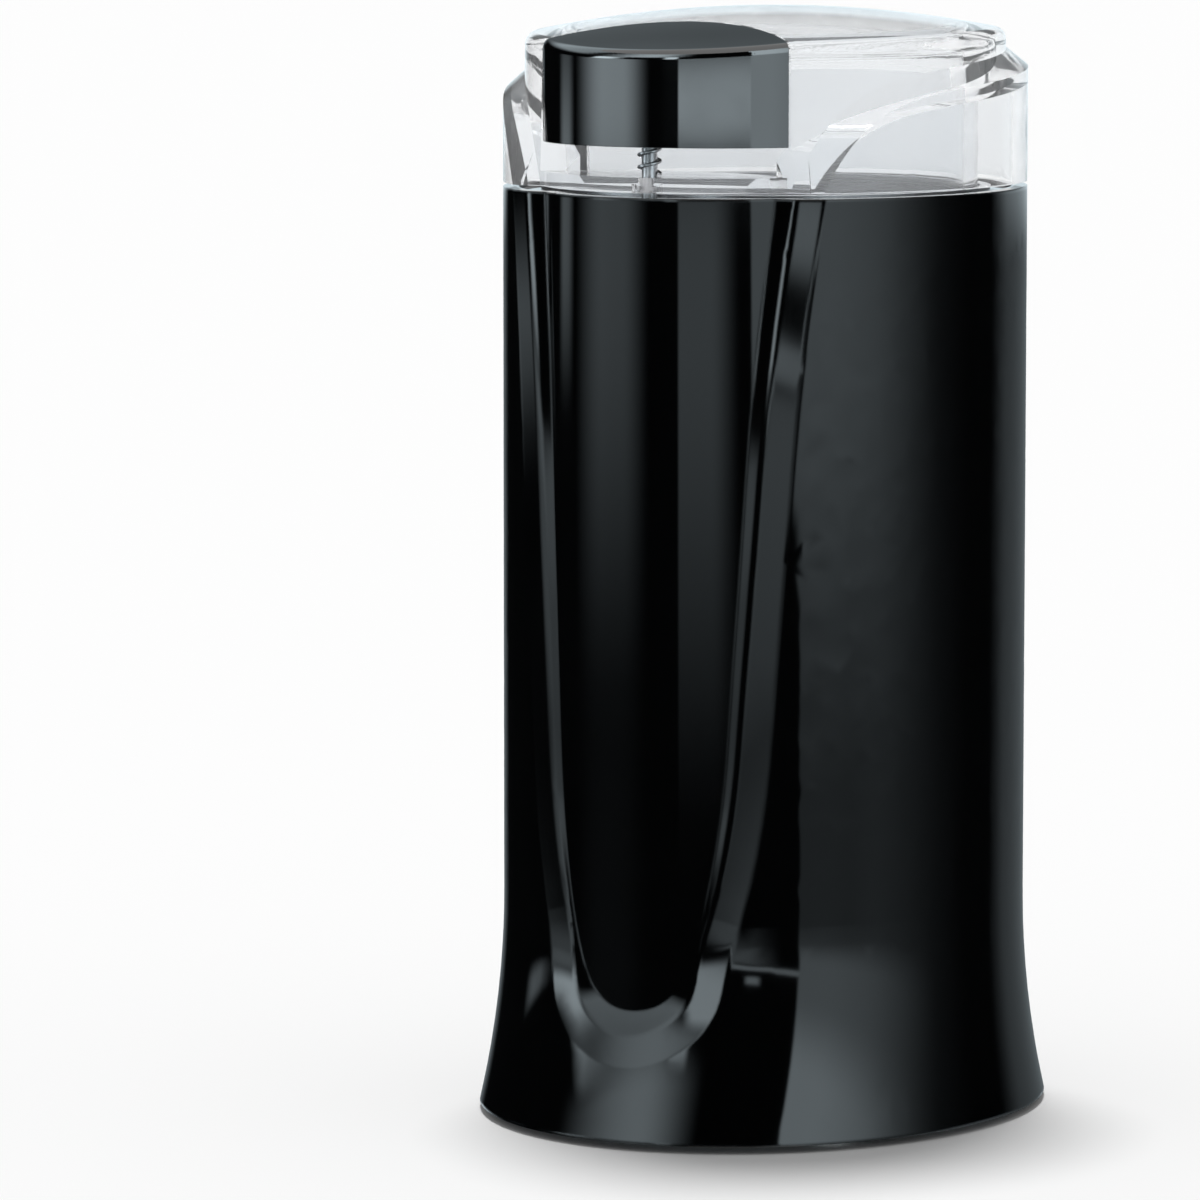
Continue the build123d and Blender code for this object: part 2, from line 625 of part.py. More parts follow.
# Armature core: slotted lamination stack.
with BuildPart() as armature_core:
    add(ring(ARMATURE_R, SHAFT_R + ON_SHAFT, STACK_LOW, STACK_H))
    with BuildSketch(Plane.XY.offset(STACK_LOW)):
        with PolarLocations(ARMATURE_R - 2.4, 12):
            SlotCenterToCenter(2.2, 2.6)
            with Locations((2, 0)):
                Rectangle(3, 1.2)
    extrude(amount=STACK_H, mode=Mode.SUBTRACT)
armature_core.part.label = "armature_core"
export_step(armature_core.part, "parts/armature_core.step")

# Armature windings: end turns at both faces and the wires in the slots.
with BuildPart() as armature_windings:
    add(ring(ARMATURE_R - 2.3, SHAFT_R + ON_SHAFT, STACK_TOP + PUSH, 4.9))
    add(ring(ARMATURE_R - 2.3, SHAFT_R + ON_SHAFT, STACK_LOW - PUSH, -4.9))
    fillet(edges().filter_by(GeomType.CIRCLE).filter_by(lambda e: e.radius > SHAFT_R + 2), radius=1.2)
    with BuildSketch(Plane.XY.offset(STACK_LOW - 1)):
        with PolarLocations(ARMATURE_R - 3.3, 12):
            Circle(1.15)
    extrude(amount=STACK_H + 2)
armature_windings.part.label = "armature_windings"
export_step(armature_windings.part, "parts/armature_windings.step")

# Commutator: copper drum with grooves between its bars.
with BuildPart() as commutator:
    add(ring(COMMUTATOR_R, SHAFT_R + ON_SHAFT, COMMUTATOR_LOW, COMMUTATOR_H))
    with BuildSketch(Plane.XY.offset(COMMUTATOR_LOW)):
        with PolarLocations(COMMUTATOR_R, 12):
            Rectangle(1.6, 0.6)
    extrude(amount=COMMUTATOR_H, mode=Mode.SUBTRACT)
commutator.part.label = "commutator"
export_step(commutator.part, "parts/commutator.step")

# Cooling fan: hub, disc and ten radial vanes.
with BuildPart() as cooling_fan:
    add(ring(FAN_HUB_R, SHAFT_R + ON_SHAFT, FAN_TOP - FAN_H, FAN_H))
    with BuildSketch(Plane.XY.offset(FAN_TOP)):
        Circle(FAN_R)
        Circle(FAN_HUB_R - 1, mode=Mode.SUBTRACT)
    extrude(amount=-1.4)
    with BuildSketch(Plane.XY.offset(FAN_TOP - FAN_H + 0.5)):
        with PolarLocations((FAN_HUB_R + FAN_R - 1) / 2, 10):
            Rectangle(FAN_R - FAN_HUB_R, 1.2, rotation=12)
    extrude(amount=FAN_H - 1.7)
cooling_fan.part.label = "cooling_fan"
export_step(cooling_fan.part, "parts/cooling_fan.step")

# Thrust washers at the lower and upper bearings.
with BuildPart() as thrust_washers:
    add(ring(SHAFT_R + 2.2, SHAFT_R + ON_SHAFT, LOWER_BEARING_LOW + LOWER_BEARING_H + LOOSE, 1.4))
    add(ring(SHAFT_R + 2.2, SHAFT_R + ON_SHAFT, UPPER_BEARING_LOW - LOOSE, -1.0))
thrust_washers.part.label = "thrust_washers"
export_step(thrust_washers.part, "parts/thrust_washers.step")

# Blade hub: collar under the blade, with a flinger lip above the seal.
with BuildPart() as blade_hub:
    add(ring(SHAFT_R + 2, SHAFT_R + ON_SHAFT, HUB_LOW, BLADE_Z - PUSH - HUB_LOW))
    with BuildSketch(Plane.XY.offset(HUB_LOW)):
        Circle(SHAFT_R + 5)
        Circle(SHAFT_R + 1, mode=Mode.SUBTRACT)
    extrude(amount=1.4)
blade_hub.part.label = "blade_hub"
export_step(blade_hub.part, "parts/blade_hub.step")

# Grinding blade: flat bar with one tip bent up and the other bent down.
with BuildPart() as grinding_blade:
    with BuildSketch(Plane.XZ):
        with BuildLine():
            Polyline((-BLADE_REACH, BLADE_Z + 4.2), (-15, BLADE_Z), (16, BLADE_Z),
                     (BLADE_REACH, BLADE_Z - 2.6),
                     (BLADE_REACH, BLADE_Z + BLADE_T - 2.6), (16, BLADE_Z + BLADE_T),
                     (-15, BLADE_Z + BLADE_T), (-BLADE_REACH, BLADE_Z + BLADE_T + 4.2), close=True)
        make_face()
    extrude(amount=6, both=True)
    with BuildSketch(Plane.XY.offset(BLADE_Z - 5)):
        with BuildLine():
            Polyline((-BLADE_REACH, 1), (6 - BLADE_REACH, -5.2), (-9, -5.2), (0, -6), (10, -4.6),
                     (BLADE_REACH - 6, -2.6), (BLADE_REACH, -1), (BLADE_REACH, 2), (BLADE_REACH - 6, 5.2),
                     (9, 5.2), (0, 6), (-10, 4.6), (6 - BLADE_REACH, 2.6), (-BLADE_REACH, 3), close=True)
        make_face()
        Circle(SHAFT_R + ON_SHAFT, mode=Mode.SUBTRACT)
    extrude(amount=14, mode=Mode.INTERSECT)
grinding_blade.part.label = "grinding_blade"
export_step(grinding_blade.part, "parts/grinding_blade.step")

# Blade nut.
with BuildPart() as blade_nut:
    with BuildSketch(Plane.XY.offset(BLADE_Z + BLADE_T + PUSH)):
        RegularPolygon(SHAFT_R + 2.6, 6)
        Circle(SHAFT_R + ON_SHAFT, mode=Mode.SUBTRACT)
    extrude(amount=4.4)
    with BuildSketch(Plane.XY.offset(BLADE_Z + BLADE_T + PUSH)):
        Circle(SHAFT_R + 3.4)
        Circle(SHAFT_R + 1, mode=Mode.SUBTRACT)
    extrude(amount=0.8)
blade_nut.part.label = "blade_nut"
export_step(blade_nut.part, "parts/blade_nut.step")

# ---------------------------------------------------------------- lid and button


def lid_edge(y):
    """Height of the lid's swept shoulder line at depth y."""
    fall = (SEAM_Z + 1.7 - HEIGHT + SHOULDER_DROP) * exp((11.3 - HALF_DEPTH - y) / 5.0)
    return HEIGHT - SHOULDER_DROP + 0.075 * y + fall


def band_points():
    """Grid on the sloping band that runs up and round the lid, from its right front to its left front."""
    rows = []
    for depth in (-1.2, 0.6, 2.4, 4.2):
        row = []
        for k in range(-14, 15):
            angle = radians(90 + 140 * sin(radians(90 * k / 14)))
            y = (HALF_DEPTH - depth) * sin(angle)
            z = lid_edge(y) + depth * BAND_RISE / BAND_INSET
            row.append(Vector((HALF_WIDTH - depth) * cos(angle), y, z))
        rows.append(row)
    return rows


def back_arc(grow):
    """Circle whose rear arc is the back of the button, grown by grow."""
    with Locations((0, BUTTON_BACK_Y - BUTTON_BACK_R)):
        Circle(BUTTON_BACK_R + grow)


def on_dome_rim(edge):
    """True for the long edge round the foot of a dome."""
    return edge.length > 2 * HALF_DEPTH and edge.center().Z > SEAM_Z + 10


# Chamber inside the lid, with the button's pocket left standing in front.
with BuildPart() as lid_room:
    with BuildSketch(Plane.XY.offset(SKIRT_LOW - 1)):
        Circle(SKIRT_R - SKIRT_WALL)
    extrude(amount=2 * LID_RISE)
    with Locations((0, DOME_Y, HEIGHT - DOME_R)):
        Sphere(DOME_R - LID_ROOF, mode=Mode.INTERSECT)
    fillet(edges().filter_by(on_dome_rim), radius=2.5)
    with BuildSketch(Plane.XY.offset(POCKET_FLOOR - 2)):
        back_arc(LOOSE + 2)
    extrude(amount=2 * LID_RISE, mode=Mode.SUBTRACT)

# Groove between the lid's outer wall and its chamber wall.
with BuildPart() as lid_groove:
    with BuildSketch(Plane.XY.offset(LID_LOW - 1)):
        Ellipse(HALF_WIDTH - WALL, HALF_DEPTH - WALL)
        Circle(SKIRT_R, mode=Mode.SUBTRACT)
    extrude(amount=20)
    with BuildSketch(Plane.YZ.offset(-2 * HALF_WIDTH)):
        with BuildLine():
            depths = [back - HALF_DEPTH for back in (13, 15.5, 18.5, 23.5, 30.5, 44.5, 64.5, 92)]
            roof = Spline(*[(y, lid_edge(y) - 2.8) for y in depths])
            Polyline(roof @ 1, (depths[-1], HEIGHT + 10), (-60, HEIGHT + 10), (-60, SEAM_Z - 10),
                     (depths[0], SEAM_Z - 10), roof @ 0)
        make_face()
    extrude(amount=4 * HALF_WIDTH, mode=Mode.SUBTRACT)

# Lid shell: clear moulding with the swept shoulder, domed top, button pocket and chamber.
with BuildPart() as lid_shell:
    with BuildSketch(Plane.XY.offset(LID_LOW)):
        Ellipse(HALF_WIDTH, HALF_DEPTH)
    extrude(amount=LID_RISE - 6.5)
    shoulder = Face.make_surface_from_array_of_points(band_points())
    extrude(shoulder, amount=40, dir=(0, 0, 1), mode=Mode.SUBTRACT)
    with BuildSketch(Plane.YZ.offset(-2 * HALF_WIDTH)):
        with BuildLine():
            depths = [back - HALF_DEPTH for back in (11.1, 11.7, 12.5, 13.3, 13.9)]
            step = Spline(*[(y, lid_edge(y) + BAND_RISE) for y in depths])
            Polyline(step @ 1, (depths[-1], HEIGHT + 10), (-60, HEIGHT + 10), (-60, SEAM_Z - 10),
                     (depths[0], SEAM_Z - 10), step @ 0)
        make_face()
    extrude(amount=4 * HALF_WIDTH, mode=Mode.SUBTRACT)
with BuildPart() as lid_top:
    for z, draft in ((LID_LOW, 0.0), (HEIGHT + 4, 0.7)):
        with BuildSketch(Plane.XY.offset(z)):
            Ellipse(HALF_WIDTH - BAND_INSET - draft, HALF_DEPTH - BAND_INSET - draft)
    loft()
    with Locations((0, DOME_Y, HEIGHT - DOME_R)):
        Sphere(DOME_R, mode=Mode.INTERSECT)
    fillet(edges().filter_by(on_dome_rim), radius=2)
with lid_shell:
    add(lid_top.part)
    with BuildSketch(Plane.XY.offset(POCKET_FLOOR)):
        back_arc(LOOSE)
    extrude(amount=2 * LID_RISE, mode=Mode.SUBTRACT)
    with BuildSketch(Plane.XY.offset(LID_LOW)):
        with Locations((0, NOSE_Y)):
            Circle(NOSE_R)
    extrude(amount=POCKET_FLOOR - LID_LOW)
    with BuildSketch(Plane.XY.offset(SKIRT_LOW)):
        Circle(SKIRT_R)
    extrude(amount=LID_LOW - SKIRT_LOW + 1)
    add(lid_room.part, mode=Mode.SUBTRACT)
    add(lid_groove.part, mode=Mode.SUBTRACT)
    with BuildSketch(Plane.XY.offset(LID_LOW)):
        with Locations((0, STEM_Y)):
            Circle(STEM_R + RUNNING)
    extrude(amount=10, mode=Mode.SUBTRACT)
    with BuildSketch(Plane.XY.offset(LID_LOW)):
        with Locations((0, STEM_Y)):
            Circle(2.4)
    extrude(amount=CLIP_T * 2, mode=Mode.SUBTRACT)
lid_shell.part.label = "lid_shell"
export_step(lid_shell.part, "parts/lid_shell.step")


def button_form(inset, top_inset):
    """Lens-shaped post under the dome, with its sides and top set in."""
    with BuildPart() as form:
        with BuildSketch(Plane.XY.offset(BUTTON_LOW)):
            with Locations((0, NOSE_Y)):
                Circle(NOSE_R - inset)
            with Locations((0, BUTTON_BACK_Y - BUTTON_BACK_R)):
                Circle(BUTTON_BACK_R - inset, mode=Mode.INTERSECT)
        extrude(amount=2 * LID_RISE)
        with Locations((0, DOME_Y, HEIGHT - DOME_R)):
            Sphere(DOME_R - top_inset, mode=Mode.INTERSECT)
    return form.part


def on_button_brow(edge):
    """True for the front edge of the button's top."""
    return edge.center().Z > HEIGHT - 10.5 and edge.center().Y < STEM_Y + 3


# Lid button: hollow lens-shaped cap, flush with the nose and the dome.
with BuildPart() as lid_button:
    add(button_form(0, 0))
    fillet(edges().filter_by(on_button_brow), radius=BUTTON_SOFT_R)
    add(button_form(BUTTON_WALL, BUTTON_TOP_T), mode=Mode.SUBTRACT)
    with BuildSketch(Plane.XY.offset(BOSS_LOW)):
        with Locations((0, STEM_Y)):
            Circle(BOSS_R)
    extrude(amount=BOSS_H)
    with BuildSketch(Plane.XY.offset(BOSS_LOW)):
        with Locations((0, STEM_Y)):
            Circle(STEM_R)
    extrude(amount=STEM_TOP - BOSS_LOW + PUSH, mode=Mode.SUBTRACT)
lid_button.part.label = "lid_button"
export_step(lid_button.part, "parts/lid_button.step")

# Button stem: steel pin that runs from the button's boss down through the pocket floor, with a clip groove.
with BuildPart() as button_stem:
    with BuildSketch(Plane.XY.offset(STEM_LOW)):
        with Locations((0, STEM_Y)):
            Circle(STEM_R)
    extrude(amount=STEM_TOP - STEM_LOW)
    with BuildSketch(Plane.XY.offset(LID_LOW + 0.2)):
        with Locations((0, STEM_Y)):
            Circle(STEM_R)
            Circle(STEM_R - 0.3, mode=Mode.SUBTRACT)
    extrude(amount=CLIP_T, mode=Mode.SUBTRACT)
button_stem.part.label = "button_stem"
export_step(button_stem.part, "parts/button_stem.step")

# Stem clip: split ring that stops the button at rest.
with BuildPart() as stem_clip:
    with BuildSketch(Plane.XY.offset(LID_LOW + 0.2)):
        with Locations((0, STEM_Y)):
            Circle(STEM_R + 0.5)
            Circle(STEM_R - 0.3, mode=Mode.SUBTRACT)
        with Locations((0, STEM_Y - STEM_R - 0.35)):
            Rectangle(1.2, 1.4, mode=Mode.SUBTRACT)
    extrude(amount=CLIP_T)
stem_clip.part.label = "stem_clip"
export_step(stem_clip.part, "parts/stem_clip.step")

# Button spring: stands on the pocket floor round the stem.
button_spring = coil(0, STEM_Y, POCKET_FLOOR, BOSS_LOW, COIL_R, COIL_WIRE_R, 5)
button_spring.label = "button_spring"
export_step(button_spring, "parts/button_spring.step")

# ---------------------------------------------------------------- switch

# Switch plunger: rod in the nose with a head that the button's stem pushes down.
with BuildPart() as switch_plunger:
    with BuildSketch(Plane.XY.offset(PLUNGER_LOW)):
        with Locations((0, STEM_Y)):
            Circle(STEM_R)
    extrude(amount=PLUNGER_TOP - PLUNGER_LOW)
    with BuildSketch(Plane.XY.offset(PLUNGER_TOP)):
        with Locations((0, STEM_Y)):
            Circle(PLUNGER_HEAD_R)
    extrude(amount=-PLUNGER_HEAD_T)
switch_plunger.part.label = "switch_plunger"
export_step(switch_plunger.part, "parts/switch_plunger.step")

# Plunger spring: stands on the guide and lifts the plunger's head.
plunger_spring = coil(0, STEM_Y, GUIDE_TOP, PLUNGER_TOP - PLUNGER_HEAD_T, COIL_R, COIL_WIRE_R, 8)
plunger_spring.label = "plunger_spring"
export_step(plunger_spring, "parts/plunger_spring.step")

# Microswitch: body in the chassis window, with an ear for the lever and a small push pin.
with BuildPart() as microswitch:
    with BuildSketch(Plane.XY.offset(SWITCH_TOP)):
        with Locations((0, (SWITCH_BACK + SWITCH_FRONT) / 2)):
            Rectangle(SWITCH_WIDTH, SWITCH_BACK - SWITCH_FRONT)
    extrude(amount=-SWITCH_H)
    chamfer(edges().filter_by(Axis.Y), 0.6)
    with BuildSketch(Plane.XZ.offset(-SWITCH_BACK)):
        with BuildLine():
            Polyline((PIVOT_X - 0.9, SWITCH_TOP - 0.5), (PIVOT_X + 2.7, SWITCH_TOP - 0.5),
                     (PIVOT_X + 0.9, PIVOT_Z + 1.6), (PIVOT_X - 0.9, PIVOT_Z + 1.6), close=True)
        make_face()
        with Locations((PIVOT_X, PIVOT_Z)):
            Circle(0.35, mode=Mode.SUBTRACT)
    extrude(amount=1.2)
    with BuildSketch(Plane.XY.offset(SWITCH_TOP - 0.5)):
        with Locations((3, STEM_Y + 0.4)):
            Rectangle(1.6, 2.2)
    extrude(amount=1.0)
microswitch.part.label = "microswitch"
export_step(microswitch.part, "parts/microswitch.step")

# Switch lever: steel leaf that turns on a pin in the ear, lying 15 degrees up at rest.
with BuildPart() as switch_lever:
    with BuildSketch(Plane.XZ.offset(-(SWITCH_BACK - 1.4))):
        with Locations(Location((PIVOT_X, PIVOT_Z), LEVER_RISE)):
            with Locations((LEVER_LENGTH / 2, 0)):
                Rectangle(LEVER_LENGTH, LEVER_T)
            Circle(1.1)
    extrude(amount=LEVER_WIDTH)
    with BuildSketch(Plane.XZ.offset(-SWITCH_BACK)):
        with Locations((PIVOT_X, PIVOT_Z)):
            Circle(0.3)
    extrude(amount=2)
switch_lever.part.label = "switch_lever"
export_step(switch_lever.part, "parts/switch_lever.step")
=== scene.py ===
import math

import bmesh
import bpy
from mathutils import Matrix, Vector


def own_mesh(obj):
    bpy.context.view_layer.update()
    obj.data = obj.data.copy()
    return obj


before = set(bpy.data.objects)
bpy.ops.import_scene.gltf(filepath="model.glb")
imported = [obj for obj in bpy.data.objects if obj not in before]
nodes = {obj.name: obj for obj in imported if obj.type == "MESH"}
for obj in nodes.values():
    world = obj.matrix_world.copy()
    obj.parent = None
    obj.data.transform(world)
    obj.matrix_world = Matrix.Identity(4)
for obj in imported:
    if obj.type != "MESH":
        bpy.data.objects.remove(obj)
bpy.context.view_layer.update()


# Housing and top deck: deep mouldings in high-gloss black, polished in the tool, so their skin shows only the
# faint waviness of cooling plastic and a haze of handling. The deck is screwed down inside the housing's rim.
class Wire:
    """An output of a shader node. Arithmetic on it adds the Math nodes."""

    def __init__(self, shader, output):
        self.shader, self.output = shader, output

    def maths(self, operation, first, second):
        return self.shader.node("ShaderNodeMath", {"operation": operation}, {0: first, 1: second})

    def __add__(self, other):
        return self.maths("ADD", self, other)

    def __radd__(self, other):
        return self.maths("ADD", other, self)

    def __sub__(self, other):
        return self.maths("SUBTRACT", self, other)

    def __rsub__(self, other):
        return self.maths("SUBTRACT", other, self)

    def __mul__(self, other):
        return self.maths("MULTIPLY", self, other)

    def __rmul__(self, other):
        return self.maths("MULTIPLY", other, self)

    def __gt__(self, other):
        return self.maths("GREATER_THAN", self, other)


class Shader:
    """A material that is being wired."""

    def __init__(self, name, **constants):
        self.material = bpy.data.materials.new(name)
        self.material.use_nodes = True
        self.tree = self.material.node_tree
        self.surface = self.tree.nodes["Principled BSDF"]
        self.feed(self.surface, {key.replace("_", " "): value for key, value in constants.items()})

    def feed(self, node, sockets):
        """Sets or links a node's sockets, which are called by number or by name."""
        for key, value in sockets.items():
            found = node.inputs[key] if isinstance(key, int) else [
                s for s in node.inputs if s.name == key and s.enabled][0]
            if isinstance(value, Wire):
                self.tree.links.new(value.output, found)
            elif hasattr(value, "__len__") and found.type == "RGBA":
                found.default_value = (*value, 1.0)
            else:
                found.default_value = value

    def node(self, kind, settings=None, sockets=None, output=None):
        """Adds a node and gives its first output, or the one that is named."""
        made = self.tree.nodes.new(kind)
        for key, value in (settings or {}).items():
            setattr(made, key, value)
        self.feed(made, sockets or {})
        shown = [s for s in made.outputs if s.enabled]
        return Wire(self, next(s for s in shown if output in (None, s.name)))

    def place(self, stretch=(1.0, 1.0, 1.0)):
        """Points on the piece, in metres, drawn out or squeezed along the axes."""
        at = self.node("ShaderNodeTexCoord", output="Object")
        return self.node("ShaderNodeMapping", sockets={"Vector": at, "Scale": stretch})

    def noise(self, where, per_metre, detail=2.0):
        return self.node("ShaderNodeTexNoise", sockets={"Vector": where, "Scale": per_metre, "Detail": detail})

    def blend(self, share, first, second):
        """One colour turning into another."""
        return self.node("ShaderNodeMix", {"data_type": "RGBA"}, {"Factor": share, "A": first, "B": second})

    def relief(self, height, depth):
        """Raises the skin by height times depth, in metres."""
        normal = self.node("ShaderNodeBump", sockets={"Strength": 1.0, "Distance": depth, "Height": height})
        self.feed(self.surface, {"Normal": normal})

    def dress(self, *names):
        for name in names:
            slots = nodes[name].data.materials
            slots.clear()
            slots.append(self.material)


WAVES_PER_METRE, WAVE_DEPTH = 30.0, 0.00001
HAZE_PER_METRE = 140.0
BLACK_CLEAN, BLACK_HAZED = (0.0006, 0.0007, 0.0008), (0.0014, 0.0015, 0.0017)
POLISH, HAZE_DULLS_BY = 0.03, 0.03


def gloss(name, index, easing):
    """Polished black. Its sharp corners are eased by the polisher, so each catches a thread of light."""
    made = Shader(name, IOR=index)
    waviness = made.noise(made.place(), WAVES_PER_METRE, detail=1.0)
    haze = made.noise(made.place(), HAZE_PER_METRE, detail=3.0)
    eased = made.node("ShaderNodeBevel", {"samples": 6}, {"Radius": easing})
    normal = made.node("ShaderNodeBump", sockets={
        "Strength": 1.0, "Distance": WAVE_DEPTH, "Height": waviness, "Normal": eased})
    made.feed(made.surface, {
        "Base Color": made.blend(haze, BLACK_CLEAN, BLACK_HAZED),
        "Roughness": POLISH + HAZE_DULLS_BY * haze,
        "Normal": normal,
    })
    return made


gloss("gloss_black", index=1.5, easing=0.0007).dress("housing", "top_deck")


# Base cover, microswitch, blade hub and switch plunger: plain black mouldings. Spark-eroded moulds give them a
# fine even grain that hides scratches.
def moulded(name, dark, light, smoothest, roughest, pits_per_metre, pit_depth):
    """Dull plastic, rubber or carbon, a little cloudy and finely pitted."""
    clouds_per_metre, cloud_share = 90.0, 0.6
    made = Shader(name, IOR=1.5)
    cloud = made.noise(made.place(), clouds_per_metre, detail=3.0)
    pits = made.noise(made.place(), pits_per_metre)
    made.feed(made.surface, {
        "Base Color": made.blend(cloud * cloud_share + pits * (1.0 - cloud_share), dark, light),
        "Roughness": smoothest + (roughest - smoothest) * pits,
    })
    made.relief(pits, pit_depth)
    return made


matt_black = moulded("matt_black", dark=(0.016, 0.016, 0.017), light=(0.034, 0.034, 0.036),
                     smoothest=0.42, roughest=0.66, pits_per_metre=2600.0, pit_depth=0.00006)
matt_black.dress("base_cover", "microswitch", "blade_hub", "switch_plunger")


# Feet, cord grommet, shaft seal and motor dampers: soft black rubber from a dull mould, a little dusty. They
# are pushed into their holes and seats, and hold there by their own grip or by what stands on them.
rubber = moulded("soft_rubber", dark=(0.018, 0.018, 0.018), light=(0.050, 0.048, 0.046),
                 smoothest=0.68, roughest=0.92, pits_per_metre=1500.0, pit_depth=0.00009)
rubber.dress("rubber_feet", "cord_grommet", "shaft_seal", "motor_dampers")


# Motor chassis: a windowed tube of grey glass-filled plastic. The glass leaves pale flow streaks that run
# up the wall from the gates.
chassis_grey = Shader("glass_filled_grey", IOR=1.5)
streaks = chassis_grey.noise(chassis_grey.place(stretch=(1.0, 1.0, 0.16)), per_metre=700.0, detail=4.0)
fibres = chassis_grey.noise(chassis_grey.place(stretch=(1.0, 1.0, 0.3)), per_metre=3200.0)
FIBRE_DEPTH = 0.00005
chassis_grey.feed(chassis_grey.surface, {
    "Base Color": chassis_grey.blend(streaks, (0.20, 0.20, 0.21), (0.33, 0.33, 0.34)),
    "Roughness": 0.42 + 0.3 * fibres,
})
chassis_grey.relief(fibres, FIBRE_DEPTH)
chassis_grey.dress("motor_chassis")


# Stator and armature cores: stacks of 0.5 mm electrical steel, dark from annealing, each sheet's edge
# showing as a line, with a bloom of rust here and there.
SHEETS_PER_METRE, SHEET_LINE_DEPTH = 2000.0, 0.00006
lamination = Shader("stacked_sheets", Metallic=0.85)
height = lamination.node("ShaderNodeSeparateXYZ", sockets={"Vector": lamination.place()}, output="Z")
turns = height * (SHEETS_PER_METRE * 2.0 * math.pi)
sheet_line = lamination.node("ShaderNodeMath", {"operation": "SINE"}, {0: turns}) * 0.5 + 0.5
bloom = lamination.noise(lamination.place(), per_metre=220.0, detail=5.0)
lamination.feed(lamination.surface, {
    "Base Color": lamination.blend(bloom * bloom, (0.17, 0.17, 0.18), (0.24, 0.15, 0.10)),
    "Roughness": 0.38 + 0.25 * bloom,
})
lamination.relief(sheet_line, SHEET_LINE_DEPTH)
lamination.dress("stator_core", "armature_core")


# Field coils, armature windings and commutator: enamelled copper wire laid side by side, and hard-drawn
# copper bars, tarnished brown where the brushes don't run.
WIRE_DEPTH = 0.00018
copper = Shader("wound_copper", Metallic=0.95)
wires = copper.node("ShaderNodeTexWave", {"wave_type": "BANDS", "bands_direction": "DIAGONAL"},
                    {"Vector": copper.place(), "Scale": 420.0, "Distortion": 0.6, "Detail": 1.0})
tarnish = copper.noise(copper.place(), per_metre=260.0, detail=4.0)
copper.feed(copper.surface, {
    "Base Color": copper.blend(tarnish, (0.66, 0.25, 0.11), (0.34, 0.13, 0.07)),
    "Roughness": 0.22 + 0.3 * tarnish,
})
copper.relief(wires, WIRE_DEPTH)
copper.dress("field_coils", "armature_windings", "commutator")


# Shaft, bracket, springs, stem, clip and switch lever: bright mild and spring steel with drawing and
# grinding marks, and a thin film of oil.
def metal(name, dark, light, smoothest, roughest, stretch=(1.0, 1.0, 1.0), scratch_depth=0.00001):
    """Bare metal or plate, stained a little, with fine scratches that stretch draws out."""
    scratches_per_metre, stains_per_metre = 2400.0, 160.0
    made = Shader(name, Metallic=1.0)
    scratches = made.noise(made.place(stretch), scratches_per_metre, detail=3.0)
    stain = made.noise(made.place(), stains_per_metre, detail=3.0)
    made.feed(made.surface, {
        "Base Color": made.blend(stain, dark, light),
        "Roughness": smoothest + (roughest - smoothest) * scratches,
    })
    made.relief(scratches, scratch_depth)
    return made


steel = metal("drawn_steel", dark=(0.42, 0.42, 0.43), light=(0.60, 0.60, 0.61),
              smoothest=0.20, roughest=0.42, stretch=(1.0, 1.0, 0.06))
steel.dress("lower_bracket", "brush_springs", "motor_shaft", "button_stem", "stem_clip", "button_spring",
            "plunger_spring", "switch_lever")


# Button spring and plunger spring: coils of music wire. Each stands on a fixed seat and, in use, is pushed
# shorter from its top end as the button goes down. Here each only gets a mesh of its own, and nothing shortens
# it.
for spring, joint in (("button_spring", "button_press"), ("plunger_spring", "plunger_press")):
    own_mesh(nodes[spring])


# Screws and blade nut: headed and rolled cold from mild steel, then bright zinc plated. The plate keeps a
# faint blue and straw stain.
zinc = metal("zinc_plate", dark=(0.60, 0.64, 0.70), light=(0.74, 0.72, 0.64), smoothest=0.18, roughest=0.36)
zinc.dress("base_screws", "deck_screws", "motor_screws", "blade_nut")


# Bearings, brush boxes and brushes: oil-filled sintered bronze bushes, boxes folded from brass strip, and
# blocks of pressed carbon that slide in the boxes.
bronze = metal("sintered_bronze", dark=(0.36, 0.22, 0.10), light=(0.50, 0.33, 0.17),
               smoothest=0.42, roughest=0.70, scratch_depth=0.00004)
bronze.dress("lower_bearing", "upper_bearing")
brass = metal("brass_strip", dark=(0.62, 0.42, 0.15), light=(0.74, 0.55, 0.24),
              smoothest=0.22, roughest=0.42, stretch=(0.08, 1.0, 1.0))
brass.dress("brush_holders")
carbon = moulded("pressed_carbon", dark=(0.020, 0.020, 0.021), light=(0.060, 0.060, 0.062),
                 smoothest=0.45, roughest=0.75, pits_per_metre=3000.0, pit_depth=0.00004)
carbon.dress("carbon_brushes")


# Fan and thrust washers: natural nylon, creamy, waxy and a little blotchy. The fan is one moulding on the
# shaft, and the washers are punched from sheet and slipped on beside the bearings.
nylon = moulded("natural_nylon", dark=(0.60, 0.56, 0.45), light=(0.74, 0.71, 0.62),
                smoothest=0.34, roughest=0.52, pits_per_metre=1800.0, pit_depth=0.00002)
nylon.dress("cooling_fan", "thrust_washers")


